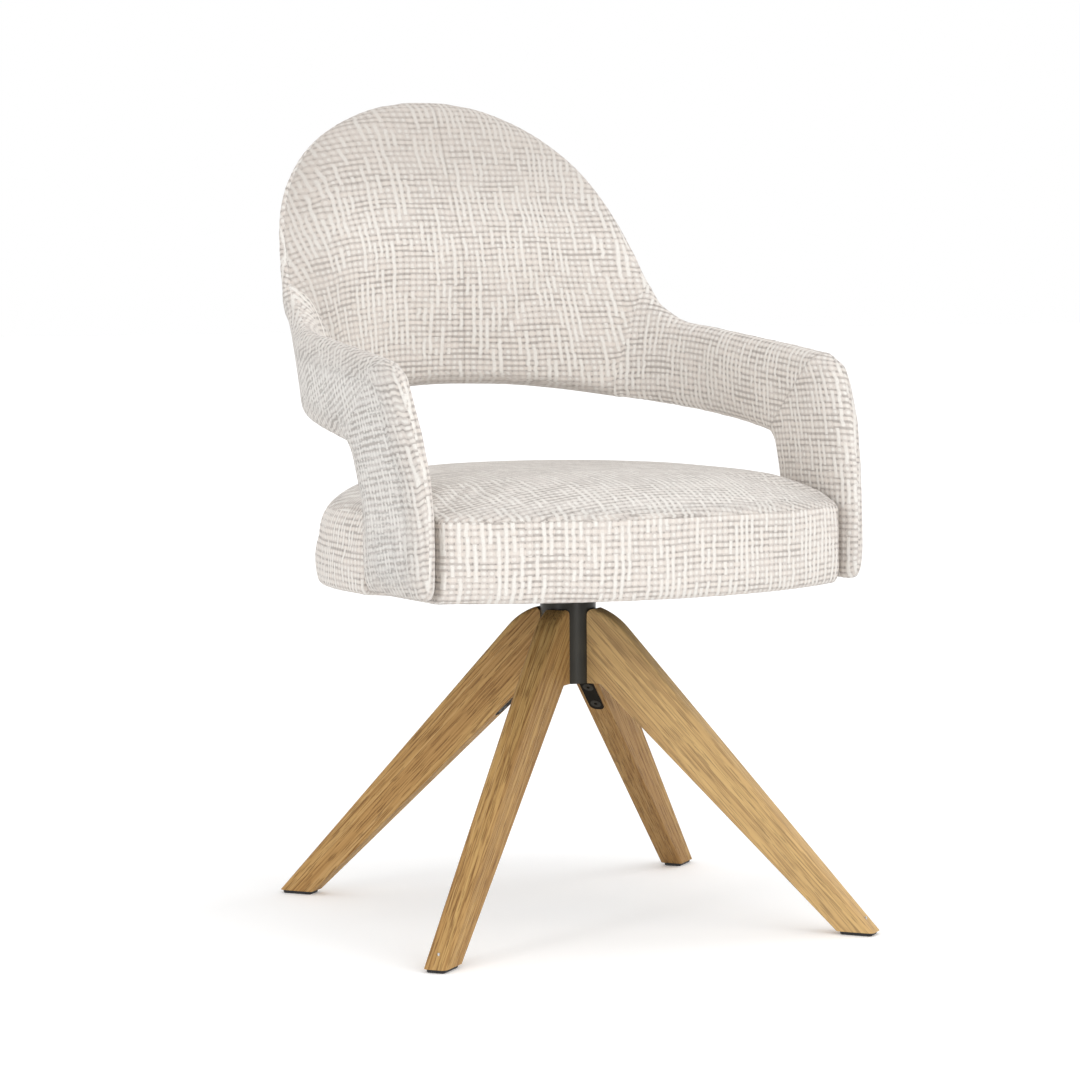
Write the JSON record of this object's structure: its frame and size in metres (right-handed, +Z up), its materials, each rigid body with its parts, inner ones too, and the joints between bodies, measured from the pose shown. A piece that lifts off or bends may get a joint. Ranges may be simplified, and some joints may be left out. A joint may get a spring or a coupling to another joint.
{
  "type": "upholstered swivel armchair",
  "caption": "Swivel dining armchair with a round upholstered back that runs into upholstered arms, a thick box seat, and splayed oak legs around a dark metal hub.",
  "frame": {"origin": "on the floor, on the axis that the seat turns about", "axes": "+Z up; the sitter faces -Y; +X is to the left of someone who sits in the chair. The base stands turned 6 degrees clockwise from above against the seat, as in the picture."},
  "size_m": [0.555, 0.6339, 0.8867],
  "materials": {
    "oak": "clear matt lacquer, grain along the leg",
    "woven_fabric": "coarse ivory and grey-beige weave",
    "seat_fabric": "coarse ivory and grey-beige weave",
    "hub_paint": "dark graphite, satin",
    "black_steel": "black powder coat, satin",
    "black_screws": "blackened steel",
    "zinc_steel": "zinc plated",
    "glide_plastic": "matt black",
    "bearing_plastic": "matt black",
    "plywood": "raw beech plywood",
    "dust_cloth": "thin black non-woven cloth"
  },
  "bodies": {
    "base": {"leg_rear_right": "oak", "leg_strap_rear_right": "black_steel", "foot_glide_rear_right": "glide_plastic", "leg_rear_left": "oak", "leg_strap_rear_left": "black_steel", "foot_glide_rear_left": "glide_plastic", "leg_front_left": "oak", "leg_strap_front_left": "black_steel", "foot_glide_front_left": "glide_plastic", "leg_front_right": "oak", "leg_strap_front_right": "black_steel", "foot_glide_front_right": "glide_plastic", "leg_screws": "black_screws", "glide_nails": "zinc_steel", "hub_tube": "hub_paint", "hub_top_plate": "hub_paint", "hub_lower_plate": "hub_paint", "hub_upper_bush": "bearing_plastic", "hub_lower_bush": "bearing_plastic", "thrust_washer": "bearing_plastic", "hub_end_cap": "bearing_plastic"},
    "seat": {"swivel_spindle": "zinc_steel", "spindle_clip": "zinc_steel", "swivel_collar": "hub_paint", "mounting_plate": "black_steel", "mounting_bolts": "black_screws", "tee_nuts": "zinc_steel", "seat_board": "plywood", "dust_cover": "dust_cloth", "seat_cushion": "seat_fabric", "back_front_right": "woven_fabric", "back_front_left": "woven_fabric", "back_rear_cover": "woven_fabric", "back_shell": "plywood", "frame_dowels": "plywood", "bracket_screws": "zinc_steel", "arm_inner_pad_right": "woven_fabric", "arm_outer_pad_right": "woven_fabric", "post_inner_pad_right": "woven_fabric", "post_outer_pad_right": "woven_fabric", "arm_frame_right": "plywood", "seat_bracket_right": "zinc_steel", "arm_inner_pad_left": "woven_fabric", "arm_outer_pad_left": "woven_fabric", "post_inner_pad_left": "woven_fabric", "post_outer_pad_left": "woven_fabric", "arm_frame_left": "plywood", "seat_bracket_left": "zinc_steel"}
  },
  "joints": [
    {"name": "seat_swivel", "type": "hinge", "parent": "base", "child": "seat", "pos_m": [0, 0, 0.35], "axis": [0, 0, 1], "continuous": true}
  ]
}
